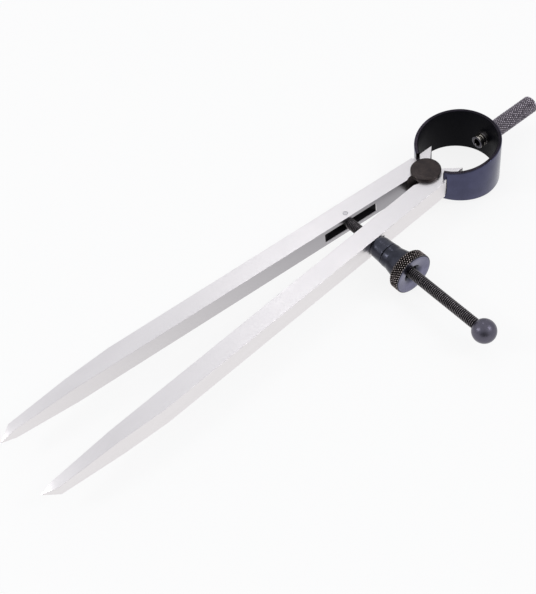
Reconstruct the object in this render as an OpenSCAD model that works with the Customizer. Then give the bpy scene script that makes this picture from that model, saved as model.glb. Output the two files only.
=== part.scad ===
// Spring divider with a round bow spring, two flat legs and a screw with a knurled nut.
// Millimetres, +Z up. The fulcrum axis is the Z axis, the legs point to -Y, the bow and
// the handle to +Y, and the adjusting screw lies along X. Z = 0 is the outer face of the
// lower fulcrum disc. The pose is the one in the photograph, with the points a little open.

/* [Legs] */
// Distance from the fulcrum axis to the points
leg_len = 200; // [170:1:250]
// Thickness of a leg
leg_t = 8.5; // [8.4:0.1:10]
// Width of a leg beside the fulcrum
leg_w_top = 8.6; // [8.2:0.1:10]
// Width of a leg at the knee, where its outer side turns in to the point
leg_w_knee = 8; // [7.4:0.1:9]
// Distance from the point to the knee
knee_len = 52; // [40:1:70]
// Distance from the point to the place where the top and bottom faces slope in
slope_len = 32; // [20:1:45]
// Length of the bevelled point
bevel_len = 6; // [4:0.5:10]
// Width of a leg where the bevels start
bevel_w = 3.9; // [3:0.1:5]
// Thickness of a leg where the bevels start
bevel_t = 4.8; // [4:0.1:6]
// Flat left at the very point
point_flat = 0.2; // [0.1:0.05:0.5]
// Distance from the centre line to an inner face, at the fulcrum
inner_gap = 1.4; // [1.2:0.1:2]
// Distance between the two points
spread = 28.2; // [24:0.1:34]

/* [Leg heads] */
// Height of the heads above the fulcrum axis
head_len = 12.2; // [11:0.1:13]
// Distance from the centre line to the outer side of a head
head_x = 9.1; // [8.8:0.1:9.4]
// Height of the shoulder under the bow end
shoulder_y = 1.4; // [0.5:0.1:1.8]
// Angle between the oblique cut of a head and the centre line
cut_angle = 42; // [40:0.5:45]
// Distance from the fulcrum axis to the mouth of the fulcrum notch
mouth_y = 8.7; // [8.5:0.1:12]
// Length of the bevel at the mouth
mouth_bevel = 1.5; // [0.5:0.1:2.5]
// Depth of the relief between the mouth and the notch
mouth_relief = 0.65; // [0.3:0.05:0.9]

/* [Fulcrum] */
// Radius of the fulcrum discs
disc_r = 6.4; // [5.6:0.1:6.6]
// Thickness of a fulcrum disc
disc_t = 1.6; // [1.2:0.1:2.5]
// Radius of the core that the legs rock on
core_r = 4; // [3.5:0.1:4.3]
// Chamfer round the edge of a disc
disc_chamfer = 0.35; // [0.2:0.05:0.6]
// Radius of the spigot that holds the cap
spigot_r = 2.2; // [1.5:0.1:3]
// Depth of the spigot in the cap
spigot_len = 1; // [0.6:0.1:1.1]

/* [Bow spring] */
// Outer radius of the bow
bow_r = 18; // [17.5:0.1:19.5]
// Thickness of the bow strip
bow_t = 1.65; // [1.2:0.05:2]
// Width of the bow strip at its crown, round the handle
bow_w = 20.8; // [20:0.1:23]
// Distance from the top of the crown to the line where the strip starts to narrow
crown_land = 4.3; // [3:0.1:6]
// Width of the strip at the height of the bow's centre
bow_w_mid = 19; // [17:0.1:20]
// Width that the strip's ends would have beside the fulcrum axis
bow_w_tip = 14.4; // [13:0.1:16]
// Height of the bow's lowest outer point above the fulcrum axis
bow_rise = 0.26; // [0:0.02:0.6]
// Angle, round the bow from its lowest point, at which a forked end stops
fork_angle = 26; // [23:0.5:27]
// Distance from the fulcrum axis to the line where an end starts to ride with its leg
bend_r = 12.2; // [11.6:0.1:12.8]

/* [Adjusting screw] */
// Distance from the fulcrum axis to the screw
screw_y = 38.7; // [36:0.1:42]
// Outside diameter of the screw thread
screw_d = 4.5; // [4:0.05:4.6]
// Distance from the centre line to the cross pin
pin_x = 6.4; // [6.2:0.1:6.6]
// Diameter of the cross pin
pin_d = 2.1; // [1.6:0.1:2.4]
// Radius of the eye on the screw
eye_r = 2.4; // [2.1:0.1:2.5]
// Distance from the cross pin to the centre of the ball end
ball_reach = 77.1; // [74:0.1:90]
// Radius of the ball end
ball_r = 4.8; // [3.5:0.05:5.2]
// Radius of the disc cutter that made the slots in the legs
cutter_r = 19.5; // [17:0.5:25]
// Depth of the slots
slot_depth = 5.2; // [5.2:0.05:5.5]
// How far the middle of a slot lies from the screw, toward the fulcrum
slot_shift = 0.5; // [0:0.1:1]

/* [Nut and collar] */
// Radius of the round nose that rocks in the leg
nose_r = 4.7; // [4.5:0.05:4.75]
// Distance from the leg's outer side to the centre of the nose
nose_out = 2.5; // [2.4:0.05:2.8]
// Length of the nose, from its centre to its flat end
nose_len = 3.6; // [3:0.1:3.7]
// Length of the collar outside the centre of the nose
collar_len = 4.4; // [3:0.1:5]
// Largest radius of the collar and of the nut's hub
hub_r = 5.1; // [5:0.05:6]
// Radius of the collar's spigot inside the nut
bush_r = 3.6; // [3.2:0.1:3.9]
// Length of the collar's spigot
bush_len = 3; // [2:0.1:5]
// Length of the nut's straight hub
hub_len = 2.9; // [2:0.1:5]
// Length of the nut's cone, between its hub and the hollow under the flange
neck_len = 4.7; // [3:0.1:6]
// Radius of the cone where it meets the hollow under the flange
neck_r = 6.2; // [5.6:0.1:6.4]
// Radius of the knurled flange
flange_r = 8.85; // [8.6:0.05:11]
// Thickness of the knurled flange
flange_t = 5; // [4:0.1:8]
// Radius of the countersink in the flange
sink_r = 4.6; // [3.6:0.1:5]
// Depth of the dish in the flange's outer face
dish_depth = 0.5; // [0.2:0.1:1]

/* [Handle] */
// Diameter of the handle
handle_d = 7.7; // [6.5:0.1:9]
// Length of the handle
handle_len = 27; // [20:0.5:40]
// Radius of the handle's domed end
dome_r = 11; // [9:0.5:20]
// Chamfer round the foot of the handle
foot_chamfer = 0.6; // [0.4:0.1:1]
// Diameter of the handle screw's shank
shank_d = 3; // [2.5:0.1:3.5]
// Length of the shank inside the handle
shank_len = 9; // [6:0.5:15]
// Radius of the handle screw's head and of its washers
cap_r = 2.9; // [2.6:0.05:3.3]
// Length of the handle screw's head
cap_len = 1.9; // [1.8:0.1:3]
// Size of the hexagon socket across its flats
socket_af = 3; // [2:0.1:3.4]
// Depth of the hexagon socket
socket_depth = 1.5; // [1:0.1:1.6]
// Thickness of the spring washer
lock_t = 1.2; // [0.6:0.1:1.4]
// Thickness of the saddle washer on the centre line
saddle_t = 1.7; // [1.4:0.1:2.2]

/* [Motion] */
// Swing of each leg from this pose to full opening, in degrees
open_limit = 26; // [20:0.5:26.5]
// Swing of each leg from this pose to the points' meeting, in degrees
close_limit = 3.9; // [3:0.1:4]
// Turn of the screw's line for each degree that a leg swings
line_ratio = 0.171; // [0.15:0.001:0.19]
// Angle left between the two heads and the centre line at full opening, in degrees
head_play = 2.2; // [1.6:0.1:3]

/* [Clearances] */
// Gap between a fulcrum disc and a leg
face_gap = 0.1; // [0.05:0.01:0.2]
// Radial gap between the core and the notch in a leg
core_gap = 0.1; // [0.05:0.01:0.15]
// Radial gap between the cross pin and the eye
pin_gap = 0.08; // [0.04:0.01:0.15]
// Gap between the screw and the sides of the slots
slot_gap = 0.13; // [0.12:0.01:0.2]
// Radial gap between the nose and its seat
seat_gap = 0.1; // [0.05:0.01:0.15]
// Radial gap between the screw and the bores that ride over it
bore_gap = 0.55; // [0.5:0.01:0.6]
// Gap between the collar and the nut
turn_gap = 0.1; // [0.05:0.01:0.2]
// Gap between pieces that are fastened together
fit_gap = 0.05; // [0.02:0.01:0.1]

/* [Hidden] */
$fn = 96;

mid_z = disc_t + face_gap + leg_t / 2;
point_x = spread / 2;
inner_slope = (point_x - inner_gap) / leg_len;
inner_angle = atan(inner_slope);
knee_y = leg_len - knee_len;
slope_y = leg_len - slope_len;
bevel_y = leg_len - bevel_len;
// Distance from the centre line to a leg's inner face, d below the fulcrum axis
function inner_x(d) = inner_gap + inner_slope * d;
knee_x = inner_x(knee_y) + leg_w_knee;
outer_slope = (knee_x - inner_gap - leg_w_top) / knee_y;
// Distance from the centre line to a leg's outer side, d below the fulcrum axis
function outer_x(d) = inner_gap + leg_w_top + outer_slope * d;

head_angle = open_limit + head_play;
cut_len = (head_x * cos(head_angle) - head_len * sin(head_angle))
        / sin(cut_angle - head_angle);
notch_r = core_r + core_gap;
relief_x = inner_x(mouth_y) + mouth_relief;

bow_y = bow_r + bow_rise;
bow_in = bow_r - bow_t;
crown_y = bow_y + bow_r;
wall_y = bow_y + bow_in;
fork_half = leg_t / 2 + fit_gap;
root_x = head_x + 4 * fit_gap;
split_angle = acos((bow_y * bow_y + bow_in * bow_in - bend_r * bend_r) / (2 * bow_y * bow_in));

screw_r = screw_d / 2;
slot_h = screw_d + 2 * slot_gap;
bore_r = screw_r + bore_gap;
seat_x = outer_x(screw_y) + nose_out;
open_swing = (1 - line_ratio) * open_limit;
close_swing = (1 - line_ratio) * close_limit;
ball_x = ball_reach - pin_x;
thrust_x = seat_x + collar_len;
nut_x = thrust_x + turn_gap;
flare_x = nut_x + hub_len;
neck_x = flare_x + neck_len;
rim_step = flange_r - 1.1;
hollow_r = rim_step - neck_r;
flange_x = neck_x + hollow_r;
face_x = flange_x + flange_t;
dish_r = flange_r - 1.6;

cap_seat_y = wall_y - saddle_t - lock_t;
cap_face_y = cap_seat_y - cap_len;
eps = 0.01;

// Turns a shape that stands along Z so that it lies along +X at the screw's height
module along_screw(x) {
    translate([x, -screw_y, mid_z]) rotate([0, 90, 0]) children();
}

// Turns a shape that stands along Z so that it lies along +Y at the handle's height
module along_handle(y) {
    translate([0, y, mid_z]) rotate([-90, 0, 0]) children();
}

// The right leg seen from above, without its slot, seat and round notch
module leg_outline() {
    polygon([
        [point_x, -leg_len],
        [point_x + point_flat, -leg_len],
        [inner_x(bevel_y) + bevel_w, -bevel_y],
        [knee_x, -knee_y],
        [outer_x(-shoulder_y), shoulder_y],
        [head_x, shoulder_y],
        [head_x, head_len],
        [head_x - cut_len * sin(cut_angle), head_len - cut_len * cos(cut_angle)],
        [core_r / 2 * sin(head_angle), core_r / 2 * cos(head_angle)],
        [relief_x, -core_r / 4],
        [relief_x, mouth_bevel - mouth_y],
        [inner_x(mouth_y), -mouth_y],
    ]);
}

// Both legs seen from the side, along their length and thickness
module leg_side() {
    polygon([
        [-leg_len, -point_flat / 2],
        [-leg_len, point_flat / 2],
        [-bevel_y, bevel_t / 2],
        [-slope_y, leg_t / 2],
        [head_len + 1, leg_t / 2],
        [head_len + 1, -leg_t / 2],
        [-slope_y, -leg_t / 2],
        [-bevel_y, -bevel_t / 2],
    ]);
}

// The right leg with its round notch and the slot that the disc cutter left
module leg_blank() {
    difference() {
        intersection() {
            translate([0, 0, mid_z]) linear_extrude(leg_t + 2, center = true) leg_outline();
            translate([0, 0, mid_z]) rotate([90, 0, 90]) linear_extrude(knee_x + leg_w_top)
                leg_side();
        }
        translate([0, 0, mid_z]) cylinder(r = notch_r, h = leg_t + 2, center = true);
        slot();
    }
}

module slot() {
    middle = screw_y - slot_shift;
    translate([inner_x(middle), -middle, mid_z]) rotate(inner_angle)
        translate([slot_depth - cutter_r, 0, 0])
            cylinder(r = cutter_r, h = slot_h, center = true);
}

// Space that the screw sweeps between its slot and its seat as the leg swings
module screw_window() {
    reach = seat_x - inner_x(screw_y) - slot_depth * 0.7;
    start = nose_out - slot_gap;
    half = bore_r + slot_gap;
    translate([0, 0, mid_z - slot_h / 2]) linear_extrude(slot_h) polygon([
        for (d = [start, reach])
            [seat_x - d, d * tan(open_swing) + half / cos(open_swing) - screw_y],
        for (d = [reach, start])
            [seat_x - d, -d * tan(close_swing) - half / cos(close_swing) - screw_y],
    ]);
}

module left_leg() {
    color("#dddbdf") difference() {
        mirror([1, 0, 0]) leg_blank();
        translate([-pin_x, -screw_y, mid_z])
            cylinder(d = pin_d + 2 * eps, h = leg_t + 2, center = true);
    }
}

module right_leg() {
    color("#dddbdf") difference() {
        leg_blank();
        screw_window();
        translate([seat_x, -screw_y, mid_z]) sphere(r = nose_r + seat_gap);
    }
}

// The strip seen from the side, along its height and width
module bow_side() {
    polygon([
        [0, -bow_w_tip / 2],
        [bow_y, -bow_w_mid / 2],
        [crown_y - crown_land, -bow_w / 2],
        [crown_y + 1, -bow_w / 2],
        [crown_y + 1, bow_w / 2],
        [crown_y - crown_land, bow_w / 2],
        [bow_y, bow_w_mid / 2],
        [0, bow_w_tip / 2],
    ]);
}

// The whole round strip, before it is parted into the bow and its two forked ends
module bow_ring() {
    difference() {
        intersection() {
            translate([0, bow_y, mid_z]) cylinder(r = bow_r, h = bow_w + 2, center = true);
            translate([0, 0, mid_z]) rotate([90, 0, 90])
                linear_extrude(2 * bow_r + 2, center = true) bow_side();
        }
        translate([0, bow_y, mid_z]) cylinder(r = bow_in, h = bow_w + 4, center = true);
    }
}

module bow_spring() {
    color("#3c3d4c") difference() {
        bow_ring();
        translate([0, 0, mid_z])
            cylinder(r = bend_r + fit_gap / 2, h = bow_w + 2, center = true);
        along_handle(bow_y) cylinder(d = shank_d + 2 * fit_gap, h = 2 * bow_r);
    }
}

// The forked end of the strip that grips the right leg
module bow_end() {
    stop = split_angle + 15;
    far = 2 * bow_r;
    difference() {
        intersection() {
            bow_ring();
            translate([0, 0, mid_z])
                cylinder(r = bend_r - fit_gap / 2, h = bow_w + 2, center = true);
            translate([0, bow_y, mid_z - bow_w]) linear_extrude(2 * bow_w) polygon([
                [0, 0],
                [far * sin(fork_angle), -far * cos(fork_angle)],
                [far * sin(stop), -far * cos(stop)],
            ]);
        }
        translate([0, -bow_r, mid_z - fork_half])
            cube([root_x, 2 * bow_r, 2 * fork_half]);
    }
}

module bow_end_right() {
    color("#3c3d4c") bow_end();
}

module bow_end_left() {
    color("#3c3d4c") mirror([1, 0, 0]) bow_end();
}

module fulcrum_disc(h) {
    cylinder(r1 = disc_r - disc_chamfer, r2 = disc_r, h = disc_chamfer);
    translate([0, 0, disc_chamfer]) cylinder(r = disc_r, h = h - disc_chamfer);
}

module fulcrum_stud() {
    core_top = 2 * mid_z - disc_t;
    color("#453f3f") union() {
        fulcrum_disc(disc_t);
        cylinder(r = core_r, h = core_top);
        cylinder(r = spigot_r, h = core_top + spigot_len - fit_gap);
    }
}

module fulcrum_cap() {
    color("#453f3f") translate([0, 0, 2 * mid_z]) mirror([0, 0, 1]) difference() {
        fulcrum_disc(disc_t - eps);
        translate([0, 0, disc_t - spigot_len]) cylinder(r = spigot_r + fit_gap, h = disc_t);
    }
}

module cross_pin() {
    color("#c9c7cb") translate([-pin_x, -screw_y, mid_z])
        cylinder(d = pin_d, h = leg_t, center = true);
}

module adjusting_screw() {
    color("#26262a") difference() {
        union() {
            translate([-pin_x, -screw_y, mid_z]) cylinder(r = eye_r, h = screw_d, center = true);
            along_screw(-pin_x) cylinder(r = screw_r, h = ball_reach - 1);
        }
        translate([-pin_x, -screw_y, mid_z])
            cylinder(d = pin_d + 2 * pin_gap, h = screw_d + 2, center = true);
    }
}

module ball_end() {
    color("#47474f") difference() {
        along_screw(ball_x) sphere(r = ball_r);
        along_screw(ball_x - 2 * ball_r) cylinder(r = screw_r + eps, h = 2 * ball_r - 1 + eps);
    }
}

module thrust_collar() {
    color("#34363d") difference() {
        union() {
            intersection() {
                along_screw(seat_x) sphere(r = nose_r);
                along_screw(seat_x - nose_len) cylinder(r = nose_r + 1, h = nose_len);
            }
            along_screw(seat_x) cylinder(r1 = nose_r, r2 = hub_r, h = collar_len);
            along_screw(thrust_x) cylinder(r = bush_r, h = bush_len);
        }
        along_screw(seat_x - nose_r - 1) cylinder(r = bore_r, h = 2 * nose_r + bush_len + 4);
    }
}

// Half of the nut's section: the radius runs along X and the length along Y
module nut_section() {
    difference() {
        polygon([
            [0, 0],
            [hub_r - 0.25, 0],
            [hub_r, 0.25],
            [hub_r, flare_x - nut_x],
            [neck_r, neck_x - nut_x],
            [rim_step, neck_x - nut_x],
            [rim_step, flange_x - nut_x],
            [flange_r - 0.45, flange_x - nut_x + 0.45],
            [flange_r, flange_x - nut_x + 1.2],
            [flange_r, face_x - nut_x - 0.55],
            [flange_r - 0.5, face_x - nut_x],
            [0, face_x - nut_x],
        ]);
        translate([rim_step, neck_x - nut_x]) circle(r = hollow_r);
    }
}

module knurled_nut() {
    color("#3a3c46") difference() {
        along_screw(nut_x) rotate_extrude() nut_section();
        along_screw(nut_x - 1) cylinder(r = bore_r, h = face_x - nut_x + 2);
        along_screw(nut_x - 1) cylinder(r = bush_r + turn_gap, h = bush_len + 1 + turn_gap);
        along_screw(face_x - dish_depth)
            cylinder(r1 = sink_r, r2 = dish_r, h = dish_depth + eps);
        along_screw(face_x - dish_depth - sink_r + bore_r)
            cylinder(r1 = bore_r, r2 = sink_r, h = sink_r - bore_r + eps);
    }
}

module handle() {
    dome_h = dome_r - sqrt(dome_r * dome_r - handle_d * handle_d / 4);
    foot_r = handle_d / 2 - foot_chamfer;
    color("#4a4652") difference() {
        union() {
            along_handle(bow_y) cylinder(r = foot_r, h = bow_r + eps);
            along_handle(crown_y) cylinder(r1 = foot_r, d2 = handle_d, h = foot_chamfer);
            along_handle(crown_y + foot_chamfer)
                cylinder(d = handle_d, h = handle_len - foot_chamfer - dome_h);
            intersection() {
                along_handle(crown_y + handle_len / 2) cylinder(d = handle_d, h = handle_len);
                along_handle(crown_y + handle_len - dome_r) sphere(r = dome_r);
            }
        }
        translate([0, bow_y, mid_z]) cylinder(r = bow_r + eps, h = bow_w, center = true);
        along_handle(bow_y) cylinder(d = shank_d + 2 * fit_gap, h = bow_r + shank_len + 1);
    }
}

module handle_screw() {
    color("#c9c6c2") difference() {
        union() {
            along_handle(cap_face_y) cylinder(r = cap_r, h = cap_len);
            along_handle(cap_face_y) cylinder(d = shank_d, h = crown_y + shank_len - cap_face_y);
        }
        along_handle(cap_face_y - 1)
            cylinder(d = socket_af / cos(30), h = socket_depth + 1, $fn = 6);
    }
}

module washer(y, h) {
    along_handle(y) difference() {
        cylinder(r = cap_r, h = h);
        translate([0, 0, -1]) cylinder(d = shank_d + 2 * fit_gap, h = h + 2);
    }
}

module spring_washer() {
    color("#b9b6b2") washer(cap_seat_y, lock_t);
}

module saddle_washer() {
    color("#8d8a8c") intersection() {
        washer(wall_y - saddle_t, saddle_t);
        translate([0, bow_y, mid_z]) cylinder(r = bow_in - eps, h = bow_w, center = true);
    }
}

bow_spring();
bow_end_left();
bow_end_right();
left_leg();
right_leg();
fulcrum_stud();
fulcrum_cap();
cross_pin();
adjusting_screw();
ball_end();
thrust_collar();
knurled_nut();
handle();
handle_screw();
spring_washer();
saddle_washer();
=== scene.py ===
# %% [markdown]
# # A spring divider, dressed for the camera
# A spring divider steps off a distance or scribes it on metal. Two steel legs meet at a
# small pivot called the fulcrum. A round spring bow pushes them apart, a threaded screw
# crosses them, and a knurled nut on the screw holds them at the spread wanted.
# The solids of the divider already exist, with sharp corners and plain colours. This
# script loads them, keeps their places and their joints, and gives every part the
# roundings, threads, knurls and finishes that the eye sees on the real tool.

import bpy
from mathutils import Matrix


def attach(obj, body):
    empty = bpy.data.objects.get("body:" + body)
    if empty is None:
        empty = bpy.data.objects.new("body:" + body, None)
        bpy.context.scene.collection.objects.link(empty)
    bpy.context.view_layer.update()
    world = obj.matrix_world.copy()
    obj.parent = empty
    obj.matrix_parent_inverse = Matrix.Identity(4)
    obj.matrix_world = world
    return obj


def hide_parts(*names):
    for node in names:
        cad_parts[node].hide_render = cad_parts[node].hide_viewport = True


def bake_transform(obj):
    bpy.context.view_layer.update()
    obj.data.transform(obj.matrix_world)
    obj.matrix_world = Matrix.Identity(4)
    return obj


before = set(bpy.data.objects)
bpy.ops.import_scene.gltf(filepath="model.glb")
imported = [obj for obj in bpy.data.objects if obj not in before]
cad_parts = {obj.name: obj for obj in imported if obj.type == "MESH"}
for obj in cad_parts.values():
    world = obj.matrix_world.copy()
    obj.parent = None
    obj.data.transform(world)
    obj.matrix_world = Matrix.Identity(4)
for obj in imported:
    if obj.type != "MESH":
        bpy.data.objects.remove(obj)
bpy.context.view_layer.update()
print("solids:", sorted(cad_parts))

# %% [markdown]
# ## The camera
# A camera is three directions and a place. The picture was taken from high up on the
# screw's side, turned so that the legs run down to the left. The directions are written
# as unit vectors in the divider's own frame, and the lens is the one at which the legs,
# the bow and the ball all fall where they do in the picture. A matrix built from them
# says exactly that, which turning the camera by three angles would only hide.

# %% Place the camera
import bpy
import bmesh
import math
import numpy as np
from mathutils import Matrix

MM = 0.001
eye = np.array([225.73, -218.59, 336.88]) * MM
across = np.array([0.62529844, 0.77183718, -0.11519213])
upward = np.array([-0.57119537, 0.55324368, 0.60634749])

lens = bpy.data.cameras.new("photo_camera")
lens.sensor_fit = "VERTICAL"
lens.sensor_height = 36
lens.lens = 65.35
lens.clip_start = 0.01
camera = bpy.data.objects.new("photo_camera", lens)
bpy.context.scene.collection.objects.link(camera)
bpy.context.scene.camera = camera
turned = np.eye(4)
turned[:3] = np.column_stack([across, upward, np.cross(across, upward), eye])
camera.matrix_world = Matrix(turned.tolist())
print("camera is", round(float(np.linalg.norm(eye)) / MM), "mm from the fulcrum")

# %% [markdown]
# ## From a grid of points to a mesh
# Nearly every part of a divider is turned on a lathe or bent from strip, so its surface
# is a grid: one parameter runs along it and the other runs round it. numpy works out all
# the points of such a grid at once. Where a grid closes on itself, or shrinks to a point
# at a pole, some points fall together, and merging them closes the surface.
# A value per point, called crest here, can travel with the grid. It is 1 on the tops of
# a thread or a knurl and 0 in their grooves, and the finishes read it later.

# %% The skin of a piece
SAME_POINT = 3e-7


def skin(name, grids, crests=None, sharp=32):
    """One object from grids of points in mm, each of shape (rings, points in a ring, 3).
    The face (i, j) joins the points (i, j), (i, j+1), (i+1, j+1) and (i+1, j). Points
    closer than SAME_POINT, in metres, are merged."""
    points, faces, first = [], [], 0
    for grid in grids:
        rings, count = grid.shape[:2]
        i, j = np.meshgrid(np.arange(rings - 1), np.arange(count - 1), indexing="ij")
        corner = first + i * count + j
        quads = np.stack([corner, corner + 1, corner + count + 1, corner + count], -1)
        points.append(grid.reshape(-1, 3) * MM)
        faces.append(quads.reshape(-1, 4))
        first += rings * count
    mesh = bpy.data.meshes.new(name)
    mesh.from_pydata(np.concatenate(points).tolist(), [], np.concatenate(faces).tolist())
    if crests is not None:
        values = np.concatenate([c.ravel() for c in crests]).astype(np.float32)
        mesh.attributes.new("crest", "FLOAT", "POINT").data.foreach_set("value", values)
    shell = bmesh.new()
    shell.from_mesh(mesh)
    bmesh.ops.remove_doubles(shell, verts=shell.verts, dist=SAME_POINT)
    bmesh.ops.recalc_face_normals(shell, faces=shell.faces)
    shell.to_mesh(mesh)
    shell.free()
    mesh.shade_smooth()
    mesh.set_sharp_from_angle(angle=math.radians(sharp))
    made = bpy.data.objects.new(name, mesh)
    bpy.context.scene.collection.objects.link(made)
    print(name, "has", len(mesh.polygons), "faces")
    return made


def closed(grid):
    """The grid with one more ring at each end, whose points all lie at that end's middle."""
    ends = [np.broadcast_to(g.mean(0), g.shape)[None] for g in (grid[0], grid[-1])]
    return np.concatenate([ends[0], grid, ends[1]])


# %% [markdown]
# ## Turned parts and eased corners
# A turned part is a profile carried round an axis. On the real tool no corner is quite
# sharp, because a file or a tumbling drum has eased it, and a thin bright line of light
# sits on each one. Writing the profile with plain corners and then easing all of them
# in one formula keeps the sizes readable.

# %% Ease the corners of a profile
def eased(corners, radii, steps=4):
    """Each corner p becomes the curve (1-s)^2 (p + t u) + 2 s (1-s) p + s^2 (p + t v), where
    u and v point at its neighbours and t = radius / tan(half the angle between them). Where
    the sides are short, t stops just before the middle of the shorter one."""
    p = np.array(corners, float)
    radii = np.broadcast_to(np.array(radii, float), len(p))
    u, v = np.roll(p, 1, 0) - p, np.roll(p, -1, 0) - p
    lu, lv = np.linalg.norm(u, axis=1), np.linalg.norm(v, axis=1)
    u, v = u / lu[:, None], v / lv[:, None]
    half = np.arccos(np.clip((u * v).sum(1), -1, 1)) / 2
    t = np.minimum(radii / np.tan(half), 0.49 * np.minimum(lu, lv))[:, None, None]
    s = np.linspace(0, 1, steps + 1)[None, :, None]
    a, b, p = p[:, None] + t * u[:, None], p[:, None] + t * v[:, None], p[:, None]
    return ((1 - s) ** 2 * a + 2 * s * (1 - s) * p + s ** 2 * b).reshape(-1, 2)


def loop(profile):
    """The profile closed on itself, for a part with a hole through it."""
    return np.concatenate([profile, profile[:1]])


# %% [markdown]
# Four axes serve all the turned parts. Each is a start, the direction along it and two
# directions across it, in mm. MIDDLE is the height of the legs' middle, SCREW_DOWN is how
# far the screw lies below the fulcrum, and PIN_LEFT is how far the cross pin lies left of it.

# %% Turn a profile round an axis
MIDDLE, SCREW_DOWN, PIN_LEFT = 5.95, 38.7, 6.4
AXES = {
    "fulcrum": ((0, 0, 0), (0, 0, 1), (1, 0, 0), (0, 1, 0)),
    "pin": ((-PIN_LEFT, -SCREW_DOWN, MIDDLE), (0, 0, 1), (1, 0, 0), (0, 1, 0)),
    "screw": ((0, -SCREW_DOWN, MIDDLE), (1, 0, 0), (0, 1, 0), (0, 0, 1)),
    "handle": ((0, 0, MIDDLE), (0, 1, 0), (0, 0, 1), (1, 0, 0)),
}


def turned_on(axis, along, radius, steps=96):
    """Point (i, j) = start + along_i a + radius_ij (cos phi_j b + sin phi_j c). The angle
    phi_j goes once round, and radius is one number a ring or one a point."""
    start, a, b, c = (np.array(v, float) for v in AXES[axis])
    radius = np.asarray(radius, float)
    radius = radius[:, None] if radius.ndim == 1 else radius
    phi = np.linspace(0, 2 * math.pi, steps + 1)[None, :, None]
    spoke = np.cos(phi) * b + np.sin(phi) * c
    return start + np.asarray(along)[:, None, None] * a + radius[..., None] * spoke


def lathe(axis, profile, steps=96):
    """The grid of a profile given as (along, radius) points."""
    return turned_on(axis, profile[:, 0], profile[:, 1], steps)


corner = eased([[0, 0], [4, 0], [4, 4]], 1, 2)[3:6]
print("a square corner eased by 1 mm:", np.round(corner, 2).tolist())

# %% [markdown]
# ## Finishes from arithmetic
# A finish is a small formula: how bright, how shiny and how rough the metal is at each
# point. Blender builds formulas from nodes and links, which are slow to read. The class
# below lets a formula be written with Python's own signs instead. Adding two values
# makes an Add node and returns its socket, so the finish reads like arithmetic.

# %% Values that make nodes
class Value:
    """A socket that a sign such as + or * works on. Each sign makes one Math node."""

    def __init__(self, finish, socket):
        self.finish, self.socket = finish, socket

    def math(self, word, *others):
        """One Math node of this value and the others."""
        return self.finish.node("ShaderNodeMath", {"operation": word}, [self, *others])

    def __add__(self, other):
        return self.math("ADD", other)

    def __sub__(self, other):
        return self.math("SUBTRACT", other)

    def __mul__(self, other):
        return self.math("MULTIPLY", other)

    def __truediv__(self, other):
        return self.math("DIVIDE", other)

    def __pow__(self, other):
        return self.math("POWER", other)

    def __neg__(self):
        return self * -1

    def __rsub__(self, other):
        return -self + other

    __radd__, __rmul__ = __add__, __mul__

    def between(self, low, high):
        """0 at low, 1 at high, and a soft S between them."""
        setting = {"interpolation_type": "SMOOTHSTEP"}
        return self.finish.node("ShaderNodeMapRange", setting, [self, low, high, 0.0, 1.0])


# %% One finish
def linear(code):
    """The light values of a colour written as six hex digits, by the sRGB curve."""
    c = np.array([int(code[k:k + 2], 16) for k in (1, 3, 5)]) / 255
    return (*np.where(c <= 0.04045, c / 12.92, ((c + 0.055) / 1.055) ** 2.4).tolist(), 1.0)


class Finish:
    """A material of one Principled shader. Constants go straight onto its sockets."""

    def __init__(self, name, **constants):
        self.material = bpy.data.materials.new(name)
        self.material.use_nodes = True
        self.tree = self.material.node_tree
        self.shader = self.tree.nodes["Principled BSDF"]
        for socket, value in constants.items():
            self.shader.inputs[socket.replace("_", " ")].default_value = value

    def node(self, kind, settings=None, inputs=(), out=0):
        """One node of any kind. Its inputs are a list in order, or a dictionary by name."""
        made = self.tree.nodes.new(kind)
        for word, value in (settings or {}).items():
            setattr(made, word, value)
        named = inputs.items() if isinstance(inputs, dict) else enumerate(inputs)
        for place, value in named:
            self.feed(made.inputs[place], value)
        return Value(self, made.outputs[out])

    def feed(self, place, value):
        """Links a value to a socket, or sets a constant on it."""
        if isinstance(value, Value):
            self.tree.links.new(value.socket, place)
        else:
            place.default_value = value

    def set(self, **inputs):
        """Links a value to sockets of the shader, such as Roughness=value."""
        for socket, value in inputs.items():
            self.feed(self.shader.inputs[socket.replace("_", " ")], value)
        return self

    def place(self):
        """The three coordinates of the point in mm, in the divider's frame."""
        spot = self.node("ShaderNodeTexCoord", out=3)
        split = self.node("ShaderNodeSeparateXYZ", None, [spot]).socket.node
        return [Value(self, socket) * 1000 for socket in split.outputs]

    def noise(self, x, y, z, detail=2.0):
        """Smooth noise from 0 to 1 whose grains are one unit across in x, y and z."""
        spot = self.node("ShaderNodeCombineXYZ", None, [x, y, z])
        return self.node("ShaderNodeTexNoise", None,
                         {"Vector": spot, "Scale": 1.0, "Detail": detail})

    def shade(self, share, dark, light):
        """The colour a share of the way from dark to light. Each is a code or a value."""
        ends = [linear(c) if isinstance(c, str) else c for c in (dark, light)]
        inputs = {0: share, 6: ends[0], 7: ends[1]}
        return self.node("ShaderNodeMix", {"data_type": "RGBA"}, inputs, out=2)

    def relief(self, height, depth):
        """The normal of a surface that rises by depth mm as the height goes from 0 to 1."""
        return self.node("ShaderNodeBump", None,
                         {"Strength": 1.0, "Distance": depth * MM, "Height": height})


def wear(obj, finish):
    """Puts a finish on a piece and names the slot it takes it from."""
    faces = obj.data.polygons
    obj.data.materials.clear()
    obj.data.materials.append(finish.material)
    faces.foreach_set("material_index", np.zeros(len(faces), np.int32))
    return obj


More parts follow.
